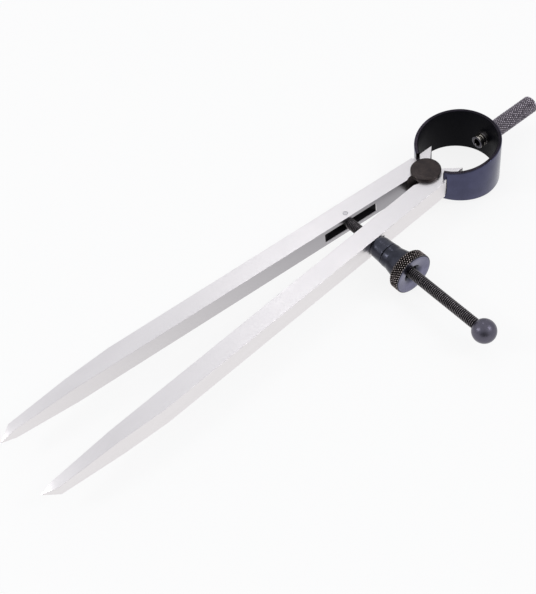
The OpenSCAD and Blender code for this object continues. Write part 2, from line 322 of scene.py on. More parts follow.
# %% [markdown]
# ## Ground steel for the legs
# The legs are flat bars of bright steel, drawn over a fine belt from the fulcrum to the
# points. The belt leaves hair lines along the leg that are far finer than the eye can
# count, and the steel is a little duller in patches where it was rubbed less. A stretched
# noise gives both: its grains are long along the leg and a fraction of a millimetre
# across it. It moves the roughness and a very low relief, and hardly the colour.
# The slots for the screw and the oblique ends of the heads are painted near black and dull,
# a painted shade, and the inner side of each leg is painted darker toward the fulcrum, a
# painted shade of the narrow gap between the legs.

# %% The ground steel
INNER_GAP, INNER_SLOPE = 1.4, 0.0635
HEAD_X, HEAD_Y, SAWN = 9.1, 12.2, math.radians(42)
SLOT_DOWN, SLOT_REACH, SLOT_HALF, SLOT_DEPTH = 38.2, 16, 2.45, 6.5
HAIRS, GAP_SHADE_DOWN, GAP_SHADE = 5, 215, 0.62


def ground_steel(side):
    """Bright belt-ground steel whose grain runs along the leg on one side (1 right, -1 left).
    The leg's inner side is a plane INNER_GAP from the centre line that leans by INNER_SLOPE.
    The oblique end of the head is a plane through (HEAD_X, HEAD_Y) at the angle SAWN. It
    and the slot are painted near black, dull and not metallic: a painted shade. The painted
    shade on the inner side fades out toward the point and ends GAP_SHADE_DOWN below the
    fulcrum."""
    made = Finish("ground_steel_" + ("right" if side > 0 else "left"), Specular_IOR_Level=0.2)
    x, y, z = made.place()
    slope = side * INNER_SLOPE
    over, down = x + y * slope, y - x * slope
    hair = made.noise(over * HAIRS, down * 0.12, z * HAIRS, 3.0)
    patch = made.noise(over * 0.12, down * 0.05, z * 0.3)
    deep = over * side - INNER_GAP
    high = (z - MIDDLE).math("ABSOLUTE")
    from_slot = (down + SLOT_DOWN).math("ABSOLUTE")
    # Painted shade in the slot: painted near black and dull.
    slot = (deep.between(0.1, 0.35) * deep.between(SLOT_DEPTH + 1, SLOT_DEPTH)
            * high.between(SLOT_HALF + 0.25, SLOT_HALF)
            * from_slot.between(SLOT_REACH + 1, SLOT_REACH))
    # The heads' oblique ends get the same painted shade as the slot.
    from_plane = (x * side - HEAD_X) * math.cos(SAWN) - (y - HEAD_Y) * math.sin(SAWN)
    cut = slot.math("MAXIMUM", from_plane.math("ABSOLUTE").between(0.08, 0.0))
    # Painted shade of the gap between the legs, darkest at the fulcrum and fading toward the
    # point.
    painted_gap_shade = deep.between(0.1, 0.0) * down.between(-GAP_SHADE_DOWN, 0) * GAP_SHADE
    bright = made.shade(hair * 0.5 + patch * 0.5, "#e4e0e1", "#f0edee")
    made.set(Base_Color=made.shade(cut, made.shade(painted_gap_shade, bright, "#4f4e5c"), "#1d1b1f"),
             Metallic=1 - cut, Roughness=0.24 + hair * 0.12 + patch * 0.1 + cut * 0.3,
             Normal=made.relief(hair, 0.0035))
    return made


steel = {1: ground_steel(1), -1: ground_steel(-1)}
print("hair lines are about", 1 / HAIRS, "mm apart")

# %% [markdown]
# ## The legs
# Each leg's outline, its round notch for the fulcrum, the slot that a disc cutter left and
# the seat of the collar are exact in the solid, so the solid's own mesh is the best start.
# What it lacks is the broken edge. A copy is joined into flat faces and a Bevel modifier
# takes a tenth of a millimetre off every corner, as one stroke of a stone would.

# %% Legs with their edges broken
FLAT, CORNER, NEAR = math.radians(0.6), math.radians(30), 2e-6


def stoned_copy(node, width):
    """A copy of a solid whose points closer than NEAR, in metres, are merged, whose faces
    are joined where they turn by less than FLAT, and whose corners over CORNER are
    bevelled."""
    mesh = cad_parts[node].data.copy()
    mesh.name = node + "_shown"
    shell = bmesh.new()
    shell.from_mesh(mesh)
    bmesh.ops.remove_doubles(shell, verts=shell.verts, dist=NEAR)
    bmesh.ops.dissolve_limit(shell, angle_limit=FLAT, verts=shell.verts, edges=shell.edges)
    shell.to_mesh(mesh)
    shell.free()
    mesh.shade_smooth()
    mesh.set_sharp_from_angle(angle=CORNER)
    made = bpy.data.objects.new(node + "_shown", mesh)
    bpy.context.scene.collection.objects.link(made)
    stone = made.modifiers.new("broken_edge", "BEVEL")
    stone.width = width * MM
    stone.segments = 2
    stone.limit_method = "ANGLE"
    stone.angle_limit = CORNER
    stone.use_clamp_overlap = False
    stone.harden_normals = True
    print(made.name, "has", len(mesh.polygons), "faces before its edges are broken")
    return made


for side, name in ((1, "right_leg"), (-1, "left_leg")):
    leg = stoned_copy(name, 0.09)
    wear(leg, steel[side])
    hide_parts(name)
    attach(leg, name)

# %% [markdown]
# ## Blackened steel
# The bow, the fulcrum, the screw and the nut are blackened: hot salts or oil turn their
# surface to a thin dark oxide that still shines. Seen straight on it gives back only a
# twentieth of the light, and seen along the surface nearly all of it, as a wet black stone
# does. A dark metal has that rise toward the edges. It is a little blue, with clouds a few
# millimetres wide where the oxide is thicker, and one formula serves all the parts.

# %% The blackened finishes
def blackened(name, dark, light, rough, cloud=2.5):
    """Dark oxide: clouds of two dark tones, with a rougher skin where the tone is lighter."""
    made = Finish(name, Metallic=1.0)
    x, y, z = made.place()
    clouds = made.noise(x / cloud, y / cloud, z / cloud, 3.0)
    grit = made.noise(x * 9, y * 9, z * 9, 2.0)
    made.tone = clouds.between(0.25, 0.75)
    made.set(Base_Color=made.shade(made.tone * 0.8 + grit * 0.2, dark, light),
             Roughness=rough + clouds * 0.12 + grit * 0.06,
             Normal=made.relief(grit, 0.004))
    return made


ball_black = blackened("ball_black", "#5b5965", "#696672", 0.26, 4.0)
print("blackened finishes:", [m.name for m in bpy.data.materials if "black" in m.name])

# %% [markdown]
# ## The spring bow
# The bow is a strip of spring steel rolled into a ring about 36 mm across. Its two ends
# are forked, and the tines grip the head of each leg from above and below. The strip is
# made as a section carried round the ring, in two halves that meet under the handle.
# Each half runs in one piece from the crown to the bottom of its fork and then parts into
# two tines. The strip is widest at the crown and narrows all the way to its ends, so that
# it bends evenly, and its edges are rounded.
# The real bow bends when the legs open. Here each half is built once and stays where it is.

# %% One half of the bow
BOW_Y, BOW_OUT, BOW_IN = 18.26, 18.0, 16.35
HALF_WIDTH, FORK_HALF, ROOT_X, TIP_ANGLE = 10.4, 4.3, 9.3, math.radians(26)
EDGE_ROUND, SLIT_ROUND, ARC_STEPS, END_SHADE_STEPS = 0.45, 0.15, 73, 30
SIDE_Y, SIDE_H = [0.0, 18.26, 31.96, 37.0], [7.2, 9.5, 10.4, 10.4]


def strip(low, high, ease_low, ease_high, angles, side):
    """Carries the strip's section from low to high across the width round the ring. The
    point (r, h) of the section at the angle a from the legs is
    (side r sin a, BOW_Y - r cos a, MIDDLE + h). Angles may differ from point to point.
    The outer edges come in toward the legs: half the width is read from the side view."""
    box = [[BOW_IN, low], [BOW_OUT, low], [BOW_OUT, high], [BOW_IN, high]]
    section = loop(eased(box, [ease_low, ease_low, ease_high, ease_high], 5))
    r, h = section[:, 0], section[:, 1]
    steps = np.linspace(0, 1, ARC_STEPS)
    a = np.array([np.broadcast_to(angles(s, r), r.shape) for s in steps])
    y = BOW_Y - r * np.cos(a)
    outer = np.clip((np.abs(h) - FORK_HALF) / (HALF_WIDTH - FORK_HALF), 0, 1) * np.sign(h)
    h = h - outer * (HALF_WIDTH - np.interp(y, SIDE_Y, SIDE_H))
    return np.stack([side * r * np.sin(a), y, MIDDLE + h], -1)


def root(r):
    """The angle at which a circle of radius r meets the fork's bottom, x = ROOT_X."""
    return np.arcsin(ROOT_X / r)


def bow_half(side, name):
    """The strip from the crown to the fork's bottom and its two tines, as one object. Its
    crest is the depth in the strip: 0 on the inner face and 1 on the outer one. Toward the
    ends of the tines it is drawn to a half, for a painted shade there."""
    whole = strip(-HALF_WIDTH, HALF_WIDTH, EDGE_ROUND, EDGE_ROUND,
                  lambda s, r: math.pi + s * (root(r) - math.pi), side)
    tines = [strip(low, high, ease_low, ease_high,
                   lambda s, r: root(r) + s * (TIP_ANGLE - root(r)), side)
             for low, high, ease_low, ease_high in
             ((-HALF_WIDTH, -FORK_HALF, EDGE_ROUND, SLIT_ROUND),
              (FORK_HALF, HALF_WIDTH, SLIT_ROUND, EDGE_ROUND))]
    grids = [closed(part) for part in (whole, *tines)]
    depth = [(np.hypot(g[..., 0], g[..., 1] - BOW_Y) - BOW_IN) / (BOW_OUT - BOW_IN)
             for g in grids]
    # Painted shade: toward the tine ends the value is drawn to a half, the edges' brown black.
    end_shade_fade = np.clip(np.arange(len(grids[1]))[::-1, None] / END_SHADE_STEPS, 0, 1)
    depth[1:] = [0.5 + (d - 0.5) * end_shade_fade for d in depth[1:]]
    return skin(name, grids, depth, sharp=40)


# %% [markdown]
# Outside, the strip has its blue-black oxide, and its cut edges are a brown black. The
# inside is painted near black, dull and barely shiny, a painted shade for the dark inside
# of the ring. Toward the ends of the tines the colour fades to the edges' brown black, a
# painted shade where the tines grip the legs. The value that travels with the grid tells
# these apart: it is 0 on the inner face, 1 on the outer and between on the edges and at
# the ends of the tines, and it stays with the points of the strip.

# %% The bow's finish and its two halves
WIPED_DARK, WIPED_LIGHT = "#45465b", "#4d4e66"
spring_black = blackened("spring_black", WIPED_DARK, WIPED_LIGHT, 0.2, 5.0)
spring_black.shader.inputs["Specular IOR Level"].default_value = 0.05
zone = spring_black.node("ShaderNodeAttribute", {"attribute_name": "crest"}, out=2)
# The edges' brown black, also used as the painted shade at the tine ends.
edge_and_end_shade = spring_black.shade(spring_black.tone, "#211e23", "#312d35")
wiped = spring_black.shade(spring_black.tone, WIPED_DARK, WIPED_LIGHT)
outside = spring_black.shade(zone.between(0.72, 0.97), edge_and_end_shade, wiped)
# Painted shade: the inside of the ring is painted near black, dull and barely shiny.
painted_inner_shade = zone.between(0.3, 0.05)
spring_black.set(Base_Color=spring_black.shade(painted_inner_shade, outside, "#0c0c12"),
                 Metallic=1 - painted_inner_shade,
                 Roughness=0.2 + spring_black.tone * 0.05 + painted_inner_shade * 0.25)

for side, name, leg_body, end in ((1, "bow_half_right", "right_leg", "bow_end_right"),
                                  (-1, "bow_half_left", "left_leg", "bow_end_left")):
    half = bow_half(side, name)
    wear(half, spring_black)
    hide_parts("bow_spring", end)
    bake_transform(half)

# %% [markdown]
# ## The fulcrum
# The fulcrum is a short stud with a disc at each end. The legs' round notches bear on its
# core and the discs keep them on it. The faces of the discs were turned, so they carry
# rings as fine as a record's, and the rim is rounded. The rings are in the finish: a
# wave of the distance from the axis, broken up by noise so that no two are alike.

# %% Turned rings
RING_WAVE, RING_DEPTH = 18.85, 0.006


def turned_black(name, dark, light, rough, axis):
    """Dark oxide over turned rings. The ring wave is the sine of the distance from the axis
    in mm times RING_WAVE, which is 2 pi times 3, plus noise of the distance alone."""
    made = blackened(name, dark, light, rough)
    x, y, z = made.place()
    a, b = {"fulcrum": (x, y), "screw": (y + SCREW_DOWN, z - MIDDLE)}[axis]
    out = (a * a + b * b) ** 0.5
    groove = made.noise(out * 7, 0.0, 0.0, 1.0) + (out * RING_WAVE).math("SINE") * 0.12
    fine = made.noise(x * 9, y * 9, z * 9, 2.0)
    made.rough = rough + groove * 0.12 + fine * 0.05
    made.set(Roughness=made.rough, Normal=made.relief(groove + fine * 0.3, RING_DEPTH))
    return made


# %% The stud and its cap
DISC_R, DISC_T, CORE_R, RIM_ROUND = 6.4, 1.6, 4.0, 0.6
CAP_LOW, CAP_HIGH, SPIGOT_R, SPIGOT_TOP = 10.3, 11.9, 2.2, 11.25
disc_black = turned_black("disc_black", "#3a3536", "#48413f", 0.18, "fulcrum")

stud = eased([[0, 0], [0, DISC_R], [DISC_T, DISC_R], [DISC_T, CORE_R], [CAP_LOW, CORE_R],
              [CAP_LOW, SPIGOT_R], [SPIGOT_TOP, SPIGOT_R], [SPIGOT_TOP, 0]],
             [0, RIM_ROUND, 0.05, 0, 0, 0, 0, 0])
lower = skin("fulcrum_stud_shown", [lathe("fulcrum", stud, 128)])
wear(lower, disc_black)
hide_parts("fulcrum_stud")
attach(lower, "bow")

cap = eased([[10.31, 2.25], [10.31, DISC_R], [CAP_HIGH, DISC_R], [CAP_HIGH, 0], [11.3, 0],
             [11.3, 2.25]], [0, 0.05, RIM_ROUND, 0, 0, 0])
upper = skin("fulcrum_cap_shown", [lathe("fulcrum", loop(cap), 128)])
wear(upper, disc_black)
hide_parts("fulcrum_cap")
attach(upper, "bow")

# %% [markdown]
# ## The cross pin
# A plain steel pin goes through the left leg and the eye of the screw, pressed in flush
# and ground with the leg. Its end shows as a faint ring on the leg's face, because its
# corner is eased and dirt stays in the joint.

# %% The pin
PIN_R, PIN_HALF, PIN_ROUND = 1.05, 4.25, 0.16
pin_steel = Finish("pin_steel", Metallic=1.0)
x, y, z = pin_steel.place()
spot = pin_steel.noise(x * 6, y * 6, z * 6)
from_pin = ((x + PIN_LEFT) ** 2.0 + (y + SCREW_DOWN) ** 2.0) ** 0.5
clean = from_pin.between(PIN_R, 0.8) * 0.8 + spot * 0.2
pin_steel.set(Base_Color=pin_steel.shade(clean, "#8d8a8c", "#d8d5d8"),
              Roughness=0.3 + spot * 0.12)
pin_side = eased([[-PIN_HALF, 0], [-PIN_HALF, PIN_R], [PIN_HALF, PIN_R], [PIN_HALF, 0]],
                 [0, PIN_ROUND, PIN_ROUND, 0])
pin = skin("cross_pin_shown", [lathe("pin", pin_side, 64)])
wear(pin, pin_steel)
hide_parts("cross_pin")
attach(pin, "left_leg")

# %% [markdown]
# ## The adjusting screw
# The screw has a real right-hand thread whose turns are 0.8 mm apart. A thread is one
# surface: the radius depends only on the place along the screw less the share of a turn
# gone round, so one formula over the grid draws the whole helix. At its left end the
# screw is flattened into a round eye on the cross pin.

# %% The thread
PITCH, CREST, ROOT = 0.8, 2.25, 1.77
SCREW_START, SCREW_STOP = -4.6, 69.2
EYE_R, EYE_BORE = 2.4, 1.13


def thread(start, stop, around=48, each=10):
    """radius = ROOT + (CREST - ROOT) h, where h is a triangle wave of
    (x / PITCH - phi / one turn) with its top and its bottom cut flat. It fades out to the
    bottom over the first and the last half millimetre."""
    x = np.linspace(start, stop, int((stop - start) / PITCH * each) + 1)
    turn = np.linspace(0, 1, around + 1)
    wave = x[:, None] / PITCH - turn[None]
    height = np.clip(1.28 * np.abs(2 * (wave - np.floor(wave)) - 1) - 0.06, 0, 1)
    fade = np.clip(np.minimum(x - start, stop - x) / 0.5, 0, 1)[:, None]
    height = height * fade
    return closed(turned_on("screw", x, ROOT + (CREST - ROOT) * height, around)), height


spiral, height = thread(SCREW_START, SCREW_STOP)
crest = np.concatenate([height[:1] * 0, height, height[-1:] * 0])
eye_ring = loop(eased([[-CREST, EYE_BORE], [-CREST, EYE_R], [CREST, EYE_R],
                       [CREST, EYE_BORE]], [0.1, 0.25, 0.25, 0.1]))
eye_grid = lathe("pin", eye_ring, 64)
screw = skin("adjusting_screw_shown", [spiral, eye_grid],
             [crest, np.full(eye_grid.shape[:2], 0.6)], sharp=60)

# %% [markdown]
# The crests of a blackened thread are rubbed by the nut each time it is turned, so they
# are lighter and smoother than the roots, which also hold oil and dust.

# %% The thread's finish
def crested(name, dark, light, rough_low, rough_high, grain, low, worn):
    """A finish that reads crest: dull and dark in the grooves, and on top bare metal that
    is lighter and smoother. It is bare where a noise of the given grain passes worn."""
    made = Finish(name, Specular_IOR_Level=0.3)
    x, y, z = made.place()
    top = made.node("ShaderNodeAttribute", {"attribute_name": "crest"}, out=2)
    patch = made.noise(x * grain, y * grain, z * grain, 3.0)
    share = top.between(low, 1.0) * patch.between(worn, worn + 0.3)
    made.set(Base_Color=made.shade(share, dark, light), Metallic=share,
             Roughness=rough_high + top * (rough_low - rough_high) + patch * 0.08,
             Normal=made.relief(patch, 0.006))
    return made


thread_black = crested("thread_black", "#0a090b", "#8f888c", 0.22, 0.4, 1.6, 0.7, 0.28)
wear(screw, thread_black)
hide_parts("adjusting_screw")
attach(screw, "screw")

# %% [markdown]
# ## The ball
# The ball stops the nut and gives the fingers something to push. It is turned with a
# short neck where the screw enters it, and it is as black as the screw but smoother.

# %% The ball
BALL_X, BALL_R, MOUTH_R = 70.7, 4.8, 2.45
swing = np.linspace(0, math.pi - math.asin(MOUTH_R / BALL_R), 48)
profile = np.stack([BALL_X + BALL_R * np.cos(swing), BALL_R * np.sin(swing)], -1)
neck = np.array([[profile[-1, 0] + 0.25, 2.26], [profile[-1, 0] + 0.4, 0]])
ball = skin("ball_shown", [lathe("screw", np.concatenate([profile, neck]), 96)], sharp=50)
wear(ball, ball_black)
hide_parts("ball_end")
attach(ball, "screw")

# %% [markdown]
# ## The thrust collar
# The collar sits in a round seat in the right leg. Its nose is part of a ball, so it can
# rock as the leg swings, and its bush carries the nut. It is a closed loop of profile
# round the screw, because a hole runs through it.

# %% The collar
SEAT_X, NOSE_R, NOSE_LEN, THRUST_X = 14.8006, 4.7, 3.6, 19.2
HUB_R, BUSH_R, BUSH_END, BORE_R, HUB_ROUND = 5.1, 3.6, 22.2, 2.8, 0.7
nose = np.linspace(math.acos(-NOSE_LEN / NOSE_R), math.pi / 2, 14)
front = np.stack([SEAT_X + NOSE_R * np.cos(nose), NOSE_R * np.sin(nose)], -1)
back = eased([[THRUST_X, HUB_R], [THRUST_X, BUSH_R], [BUSH_END, BUSH_R], [BUSH_END, BORE_R],
              [SEAT_X - NOSE_LEN, BORE_R]], [HUB_ROUND, 0, 0.2, 0, 0], 6)
collar = skin("thrust_collar_shown", [lathe("screw", loop(np.concatenate([front, back])))])
collar_black = turned_black("collar_black", "#3f4049", "#4d4e58", 0.14, "screw")
wear(collar, collar_black)
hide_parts("thrust_collar")
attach(collar, "collar")

# %% [markdown]
# ## Diamond knurling
# A knurl is rolled in by two wheels whose teeth lean opposite ways, which leaves two
# families of grooves and a field of small diamonds between them. The height at a point is
# set by the nearer groove, so it is the smaller of two triangle waves. One wave leans
# with the helix and the other against it.

# %% The knurl
def knurl(along, turn, teeth, advance):
    """Height from 0 in a groove to 1 on a diamond: 1.25 times the smaller of the triangle
    waves of (teeth turn + along / advance) and (teeth turn - along / advance), at most 1."""
    one = teeth * turn[None] + along[:, None] / advance
    two = teeth * turn[None] - along[:, None] / advance
    waves = [np.abs(2 * (w - np.floor(w + 0.5))) for w in (one, two)]
    return np.clip(1.25 * np.minimum(*waves), 0, 1)


# %% [markdown]
# ## The knurled nut
# The nut has a short hub that bears on the collar, a slow cone, a hollow that opens out to
# the flange, and a knurled rim for the thumb and finger. Its outer face is dished a little
# and countersunk round the screw. The knurl runs out over the rounded back corner, where
# its ridges catch the most light, and fades out over the front one.

# %% The nut
NUT_X, FLARE_X, NECK_X, FLANGE_X, FACE_X = 19.3, 22.2, 26.9, 28.45, 33.45
STEP_R, HOLLOW_R, BACK_R, FRONT_R, INSIDE_R, INSIDE_X = 7.75, 1.55, 1.1, 0.5, 3.7, 22.4
TEETH, RIM_R, RIM_DEPTH, BITE = 54, 8.85, 0.4, 0.3
ADVANCE = 2 * math.pi * RIM_R / TEETH / math.tan(math.radians(30))
STEPS = TEETH * 8

quarter = np.linspace(0, math.pi / 2, 14)

# A hollow quarter circle behind the flange, and round corners behind and ahead of its rim
hollow = np.stack([NECK_X + HOLLOW_R * np.sin(quarter),
                   STEP_R - HOLLOW_R * np.cos(quarter)], -1)
behind = np.stack([FLANGE_X + BACK_R * (1 - np.cos(quarter)),
                   STEP_R + BACK_R * np.sin(quarter)], -1)
ahead = np.stack([FACE_X - FRONT_R + FRONT_R * np.sin(quarter[::2]),
                  RIM_R - FRONT_R + FRONT_R * np.cos(quarter[::2])], -1)
level = np.linspace(FLANGE_X + BACK_R, FACE_X - FRONT_R, 32)[1:-1]
rim = np.concatenate([behind, np.stack([level, np.full(30, RIM_R)], -1), ahead])
turn = np.linspace(0, 1, STEPS + 1)
bumps = knurl(rim[:, 0] - FLANGE_X, turn, TEETH, ADVANCE)
bite = (np.clip((rim[:, 0] - FLANGE_X) / BITE, 0, 1)
        * np.clip((FACE_X - 0.2 - rim[:, 0]) / BITE, 0, 1))
dent = bite[:, None] * (1 - bumps)
rim_grid = turned_on("screw", rim[:, 0], rim[:, 1:] - RIM_DEPTH * dent, STEPS)

before = eased([[INSIDE_X, INSIDE_R], [NUT_X, INSIDE_R], [NUT_X, HUB_R], [FLARE_X, HUB_R],
                [NECK_X, STEP_R - HOLLOW_R]], [0, 0, HUB_ROUND, 2.0, 0], 6)
before = np.concatenate([before[:-7], hollow])
after = eased([[FACE_X, RIM_R - FRONT_R], [FACE_X, 7.4], [FACE_X - 0.5, 4.2], [31.6, BORE_R],
               [INSIDE_X, BORE_R], [INSIDE_X, INSIDE_R]], [0, 1.0, 1.6, 0, 0, 0])
before_grid = turned_on("screw", before[:, 0], before[:, 1], STEPS)
after_grid = turned_on("screw", after[:, 0], after[:, 1], STEPS)
nut = skin("knurled_nut_shown", [before_grid, rim_grid, after_grid],
           [np.ones(before_grid.shape[:2]), 1 - dent, np.ones(after_grid.shape[:2])], sharp=34)

# %% [markdown]
# The nut's finish needs to know where it is. The turned parts are plain oxide with rings,
# the outer face is a lighter violet grey with a painted shade that darkens it toward the
# hole, and on the rim the ridges are worn to bright brown-grey glints between black grooves.

# %% The nut's finish
nut_finish = turned_black("nut_turned_black", "#383941", "#454650", 0.14, "screw")
x, y, z = nut_finish.place()
top = nut_finish.node("ShaderNodeAttribute", {"attribute_name": "crest"}, out=2)
rubbed = nut_finish.noise(x * 2.2, y * 2.2, z * 2.2, 3.0)
radius = ((y + SCREW_DOWN) ** 2.0 + (z - MIDDLE) ** 2.0) ** 0.5
on_rim = radius.between(7.7, 8.0) * x.between(33.25, 33.0)
# Toward the hole the face fades to the dark turned colour: a painted shade round the screw.
face_beyond_hole_shade = x.between(31.2, 31.9) * radius.between(8.5, 8.35) * radius.between(2.6, 5.4)
turned_part = nut_finish.shade(nut_finish.tone, "#373840", "#44454f")
face = nut_finish.shade(nut_finish.tone * 0.6 + rubbed * 0.4, "#676679", "#7c7b92")
worn = nut_finish.shade(top.between(0.55, 1.0) * rubbed.between(0.3, 0.62),
                        "#14110f", "#e4d6d4")
smooth = nut_finish.shade(face_beyond_hole_shade, turned_part, face)
nut_finish.set(Base_Color=nut_finish.shade(on_rim, smooth, worn),
               Roughness=nut_finish.rough + on_rim * 0.12)
wear(nut, nut_finish)
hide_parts("knurled_nut")
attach(nut, "nut")

# %% [markdown]
# ## The handle
# The handle is a knurled rod with a low domed end, which the fingers roll when the
# divider is swung round a point. Its foot is chamfered where it meets the bow. The same
# knurl formula is used with 24 teeth, and it fades out just before the chamfer and the
# dome.

# %% The handle
HANDLE_R, CROWN_Y, DOME_R, TOP_Y = 3.85, 36.26, 11.0, 63.26
HANDLE_TEETH, HANDLE_DEPTH, CHAMFER, HOLE_R = 24, 0.3, 0.6, 1.55
HANDLE_ADVANCE = 2 * math.pi * HANDLE_R / HANDLE_TEETH / math.tan(math.radians(30))
HANDLE_STEPS = HANDLE_TEETH * 8

shoulder_y = TOP_Y - DOME_R + math.sqrt(DOME_R ** 2 - HANDLE_R ** 2)
rod_y = np.linspace(CROWN_Y + CHAMFER, shoulder_y - 0.25, 200)
fade = np.clip(np.minimum(rod_y - rod_y[0], rod_y[-1] - rod_y) / 0.5, 0, 1)[:, None]
bumps = knurl(rod_y, np.linspace(0, 1, HANDLE_STEPS + 1), HANDLE_TEETH, HANDLE_ADVANCE)
dent = fade * (1 - bumps)
rod = turned_on("handle", rod_y, HANDLE_R - HANDLE_DEPTH * dent, HANDLE_STEPS)

foot_r = HANDLE_R - CHAMFER
foot = np.array([[TOP_Y - 18, HOLE_R], [CROWN_Y - 0.42, HOLE_R], [CROWN_Y - 0.28, foot_r],
                 [CROWN_Y, foot_r], [CROWN_Y + CHAMFER, HANDLE_R]])
foot_grid = turned_on("handle", foot[:, 0], foot[:, 1], HANDLE_STEPS)
foot_grid = closed(foot_grid)[:-1]
arc = np.linspace(math.asin((HANDLE_R - HANDLE_DEPTH) / DOME_R), 0, 12)
dome = np.stack([TOP_Y - DOME_R + DOME_R * np.cos(arc), DOME_R * np.sin(arc)], -1)
dome = np.concatenate([[[shoulder_y - 0.25, HANDLE_R], [shoulder_y - 0.06, HANDLE_R - 0.08]],
                       dome])
dome_grid = turned_on("handle", dome[:, 0], dome[:, 1], HANDLE_STEPS)
crests = [np.full(foot_grid.shape[:2], 0.8), 1 - dent, np.full(dome_grid.shape[:2], 0.9)]
handle = skin("handle_shown", [foot_grid, rod, dome_grid], crests, sharp=34)
knurl_black = crested("knurl_black", "#4a434c", "#dcd3dd", 0.24, 0.42, 1.2, 0.4, 0.3)
wear(handle, knurl_black)
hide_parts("handle")
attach(handle, "bow")

# %% [markdown]
# ## The handle screw and its washers
# A bright socket screw goes through the bow from inside and holds the handle. Under its
# round head are a split spring washer and a washer whose back is curved to the bow. The
# socket is a hexagon, and a hexagon is a circle whose radius depends on the angle: half
# the width across the flats, divided by the cosine of the angle from the nearest flat.

# %% The handle screw
CAP_Y, SEAT_Y, LOCK_Y = 29.81, 31.71, 32.91
CAP_R, SHANK_R, SOCKET_R, HALF_FLATS, SOCKET_DEPTH = 2.9, 1.5, 1.95, 1.5, 1.5
phi = np.linspace(0, 2 * math.pi, 97)
off_flat = np.mod(phi + math.pi / 6, math.pi / 3) - math.pi / 6
hexagon = HALF_FLATS / np.cos(off_flat)
outline = eased([[SEAT_Y + 9, SHANK_R], [SEAT_Y, SHANK_R], [SEAT_Y, CAP_R], [CAP_Y, CAP_R],
                 [CAP_Y, SOCKET_R]], [0, 0, 0.15, 0.3, 0])
head = closed(lathe("handle", outline))[:-1]
inner = np.stack([np.full(phi.shape, SOCKET_R), hexagon, hexagon, hexagon * 0.0])
inner_y = np.array([CAP_Y, CAP_Y + 0.3, CAP_Y + SOCKET_DEPTH, CAP_Y + SOCKET_DEPTH])
socket = turned_on("handle", inner_y, inner)

nickel = Finish("nickel", Metallic=1.0)
x, y, z = nickel.place()
out = (x * x + (z - MIDDLE) * (z - MIDDLE)) ** 0.5
spots = nickel.noise(x * 5, y * 5, z * 5, 3.0)
# Painted shade inside the hexagon socket.
painted_inner_shade = out.between(SOCKET_R, 1.6) * y.between(31.6, 31.4)
# Painted reflection: the head's front face is painted dark for the dark bow it mirrors.
face = nickel.shade(spots, "#3a3940", "#55535a")
plated = nickel.shade(y.between(29.85, 30.1), face, nickel.shade(spots, "#cbc4ba", "#ece6dc"))
nickel.set(Base_Color=nickel.shade(painted_inner_shade, plated, "#2c2a2f"),
           Roughness=0.16 + spots * 0.14, Normal=nickel.relief(spots, 0.004))
bolt = skin("handle_screw_shown", [head, socket])
wear(bolt, nickel)
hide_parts("handle_screw")
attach(bolt, "bow")

# %% [markdown]
# The spring washer is a square wire bent into one turn and cut, so its two ends show a
# slanting gap. It is pressed flat here. It is a section carried round the axis, like the bow.

# %% The spring washer
def split_washer(inner_r, outer_r, low, high, gap=14.0):
    """The section's point (r, y) goes to the angle a at the same y. The angle runs from half
    the gap, in degrees, to a full turn less half the gap, and slants a little with y, so that
    the two ends of the wire stand aslant."""
    box = [[inner_r, low], [outer_r, low], [outer_r, high], [inner_r, high]]
    section = loop(eased(box, 0.18))
    r, h = section[:, 0], section[:, 1]
    s = np.linspace(0, 1, 90)[:, None]
    slant = (h - (low + high) / 2) / (high - low) * math.radians(20)
    a = math.radians(gap) / 2 + s * (2 * math.pi - math.radians(gap)) + slant
    return np.stack([r * np.sin(a), np.broadcast_to(h, a.shape), MIDDLE + r * np.cos(a)], -1)


wire = split_washer(HOLE_R, 2.85, SEAT_Y + 0.03, LOCK_Y - 0.02)
lock = skin("spring_washer_shown", [closed(wire)], sharp=40)
wear(lock, nickel)
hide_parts("spring_washer")
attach(lock, "bow")

# %% [markdown]
# The last washer's back follows the inside of the bow: a point at the side offset x lies
# where the bow's inner circle has that offset.

# %% The saddle washer
rings = loop(eased([[HOLE_R, 0], [CAP_R, 0], [CAP_R, 1], [HOLE_R, 1]], [0, 0.12, 0, 0]))
side_x = rings[:, :1] * np.sin(phi)
deepest = BOW_Y + np.sqrt(BOW_IN ** 2 - side_x ** 2) - 0.012
level = LOCK_Y + rings[:, 1:] * (deepest - LOCK_Y)
saddle_grid = np.stack([side_x, level, MIDDLE + rings[:, :1] * np.cos(phi)], -1)
washer_steel = Finish("washer_steel", Metallic=1.0)
x, y, z = washer_steel.place()
dull = washer_steel.noise(x * 4, y * 4, z * 4, 3.0)
washer_steel.set(Base_Color=washer_steel.shade(dull, "#6f6c6e", "#a19d9f"),
                 Roughness=0.3 + dull * 0.2, Normal=washer_steel.relief(dull, 0.005))
saddle = skin("saddle_washer_shown", [saddle_grid])
wear(saddle, washer_steel)
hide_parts("saddle_washer")
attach(saddle, "bow")

# %% [markdown]
# ## The floor and the white studio
# The tool lies on a plain white sheet. The camera and the mirror in the metal should see
# it as white, yet it should still take a faint shadow of the tool. So the floor is a
# mixture of a soft light of strength one and plain white paint, on which the shadow falls.
# The camera and the metal see mostly the light, with a small share of the paint and its
# shadow. All other rays see the paint alone.

